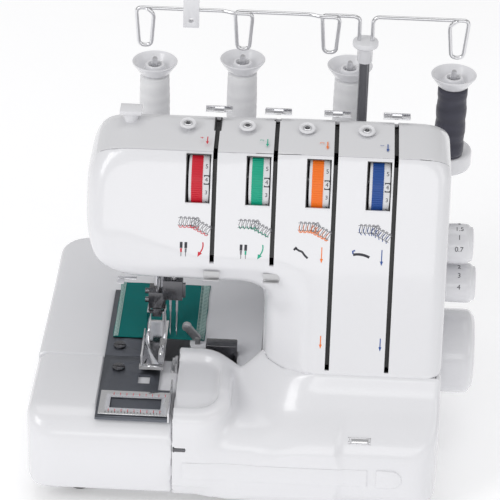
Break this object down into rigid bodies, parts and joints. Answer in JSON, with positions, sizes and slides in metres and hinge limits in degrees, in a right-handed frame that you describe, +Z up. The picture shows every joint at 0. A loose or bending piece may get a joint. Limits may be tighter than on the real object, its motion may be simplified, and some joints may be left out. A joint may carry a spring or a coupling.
{
  "type": "serger overlock machine",
  "caption": "Four-thread serger overlock machine with tension dials, looper cover, presser foot, thread stand and spools.",
  "frame": {"origin": "on the table plane, at the middle of the machine's footprint", "axes": "+X to the operator's right, +Y away from the operator, +Z up"},
  "size_m": [0.336, 0.268, 0.333],
  "materials": {
    "white_plastic": "gloss",
    "soft_white_plastic": "satin",
    "black_plastic": "matte",
    "rubber": "matte",
    "steel": "satin",
    "chrome": "polished",
    "aluminium": "cast",
    "dark_metal": "satin",
    "plate_grey": "satin",
    "red": "satin",
    "green": "satin",
    "orange": "satin",
    "blue": "satin",
    "cloth": "woven",
    "thread_white": "wound thread",
    "thread_grey": "wound thread"
  },
  "bodies": {
    "machine": {"base_pan": "soft_white_plastic", "rubber_feet": "rubber", "chassis_frame": "aluminium", "bed_rear_cover": "white_plastic", "needle_plate": "plate_grey", "front_plate": "plate_grey", "plate_screws": "dark_metal", "arm_housing": "white_plastic", "front_panel": "white_plastic", "top_cover": "white_plastic", "slot_liners": "black_plastic", "thread_eyelets": "white_plastic", "top_guide_clips": "chrome", "dial_spindles": "steel", "drive_belt": "rubber", "motor": "dark_metal", "looper_guard": "dark_metal", "lower_knife": "steel", "arm_thread_guides": "steel", "thread_cutter": "chrome", "spool_stand": "white_plastic", "spool_pins": "chrome", "mast_outer": "aluminium", "cloth_sample": "cloth", "power_inlet": "black_plastic", "spool_caps": "white_plastic", "thread_spools_white": "thread_white", "thread_spool_grey": "thread_grey"},
    "bed_cover": {"bed_front_cover": "white_plastic"},
    "cover": {"looper_cover": "white_plastic"},
    "latch": {"cover_latch": "dark_metal"},
    "dial_1": {"tension_dial_1": "red"},
    "dial_2": {"tension_dial_2": "green"},
    "dial_3": {"tension_dial_3": "orange"},
    "dial_4": {"tension_dial_4": "blue"},
    "wheel": {"handwheel": "white_plastic", "main_shaft": "steel", "shaft_pulley": "black_plastic"},
    "rotor": {"motor_pulley": "steel"},
    "stitch_dial": {"stitch_length_dial": "white_plastic"},
    "feed_dial": {"differential_dial": "white_plastic"},
    "rocker": {"rock_shaft": "steel"},
    "needle_slide": {"needle_bar": "chrome", "needle_clamp": "dark_metal", "needles": "chrome"},
    "presser_slide": {"presser_bar": "chrome", "presser_ankle": "dark_metal"},
    "foot": {"presser_foot": "chrome"},
    "lifter": {"lifter_lever": "white_plastic"},
    "looper_up": {"upper_looper": "steel"},
    "looper_low": {"lower_looper": "steel"},
    "knife": {"upper_knife": "steel"},
    "feed": {"feed_dogs": "steel"},
    "guide": {"seam_guide": "chrome"},
    "pressure": {"pressure_screw": "white_plastic"},
    "mast": {"mast_inner": "aluminium", "mast_cap": "white_plastic", "guide_wires": "chrome", "wire_tab": "white_plastic"},
    "switch": {"power_switch": "black_plastic"}
  },
  "joints": [
    {"name": "handwheel_turn", "type": "hinge", "parent": "machine", "child": "wheel", "pos_m": [0.16, 0.006, 0.066], "axis": [1, 0, 0], "continuous": true},
    {"name": "motor_turn", "type": "hinge", "parent": "machine", "child": "rotor", "pos_m": [0.095, 0.06, 0.15], "axis": [1, 0, 0], "continuous": true},
    {"name": "tension_dial_1_turn", "type": "hinge", "parent": "machine", "child": "dial_1", "pos_m": [-0.046, -0.02401, 0.23323], "axis": [1, 0, 0], "range_deg": [-150, 150]},
    {"name": "tension_dial_2_turn", "type": "hinge", "parent": "machine", "child": "dial_2", "pos_m": [-0.002, -0.02401, 0.23323], "axis": [1, 0, 0], "range_deg": [-150, 150]},
    {"name": "tension_dial_3_turn", "type": "hinge", "parent": "machine", "child": "dial_3", "pos_m": [0.042, -0.02401, 0.23323], "axis": [1, 0, 0], "range_deg": [-150, 150]},
    {"name": "tension_dial_4_turn", "type": "hinge", "parent": "machine", "child": "dial_4", "pos_m": [0.086, -0.02401, 0.23323], "axis": [1, 0, 0], "range_deg": [-150, 150]},
    {"name": "stitch_length_turn", "type": "hinge", "parent": "machine", "child": "stitch_dial", "pos_m": [0.15, 0, 0.133], "axis": [1, 0, 0], "range_deg": [-90, 90]},
    {"name": "differential_turn", "type": "hinge", "parent": "machine", "child": "feed_dial", "pos_m": [0.15, 0, 0.168], "axis": [1, 0, 0], "range_deg": [-60, 60]},
    {"name": "bed_cover_slide", "type": "slide", "parent": "machine", "child": "bed_cover", "axis": [-1, 0, 0], "range_m": [0, 0.06]},
    {"name": "looper_cover_open", "type": "hinge", "parent": "machine", "child": "cover", "pos_m": [-0.057, -0.118, 0.024], "axis": [1, 0, 0], "range_deg": [0, 85]},
    {"name": "cover_latch_press", "type": "slide", "parent": "cover", "child": "latch", "axis": [1, 0, 0], "range_m": [0, 0.003], "stiffness_N_per_m": 200},
    {"name": "needle_bar_stroke", "type": "slide", "parent": "machine", "child": "needle_slide", "axis": [0, 0, -1], "range_m": [0, 0.022]},
    {"name": "rock_shaft_swing", "type": "hinge", "parent": "machine", "child": "rocker", "pos_m": [0, 0.017, 0.2], "axis": [1, 0, 0], "range_deg": [0, 40]},
    {"name": "presser_bar_lift", "type": "slide", "parent": "machine", "child": "presser_slide", "axis": [0, 0, 1], "range_m": [0, 0.006]},
    {"name": "presser_foot_tilt", "type": "hinge", "parent": "presser_slide", "child": "foot", "pos_m": [-0.078, -0.008, 0.099], "axis": [1, 0, 0], "range_deg": [-6, 2]},
    {"name": "lifter_raise", "type": "hinge", "parent": "machine", "child": "lifter", "pos_m": [-0.088, 0.074, 0.155], "axis": [1, 0, 0], "range_deg": [0, 30]},
    {"name": "upper_looper_swing", "type": "hinge", "parent": "machine", "child": "looper_up", "pos_m": [-0.044, -0.021, 0.049], "axis": [1, 0, 0], "range_deg": [0, 8]},
    {"name": "lower_looper_swing", "type": "hinge", "parent": "machine", "child": "looper_low", "pos_m": [-0.04, -0.021, 0.049], "axis": [1, 0, 0], "range_deg": [-4, 0]},
    {"name": "upper_knife_swing", "type": "hinge", "parent": "machine", "child": "knife", "pos_m": [-0.06, -0.054, 0.058], "axis": [1, 0, 0], "range_deg": [0, 8]},
    {"name": "feed_dog_stroke", "type": "slide", "parent": "machine", "child": "feed", "axis": [0, 1, 0], "range_m": [-0.002, 0.002]},
    {"name": "seam_guide_slide", "type": "slide", "parent": "machine", "child": "guide", "axis": [-1, 0, 0], "range_m": [0, 0.01]},
    {"name": "pressure_turn", "type": "hinge", "parent": "machine", "child": "pressure", "pos_m": [-0.099, 0, 0.27], "axis": [0, 0, 1], "range_deg": [-150, 150]},
    {"name": "mast_telescope", "type": "slide", "parent": "machine", "child": "mast", "axis": [0, 0, -1], "range_m": [0, 0.06]},
    {"name": "power_switch_rock", "type": "hinge", "parent": "machine", "child": "switch", "pos_m": [0.1, 0.125, 0.037], "axis": [1, 0, 0], "range_deg": [-6, 6]}
  ],
  "couplings": [
    {"joint": "motor_turn", "follows": "handwheel_turn", "ratio": 2.9},
    {"joint": "lifter_raise", "follows": "presser_bar_lift", "rad_per_m": 87.266}
  ]
}
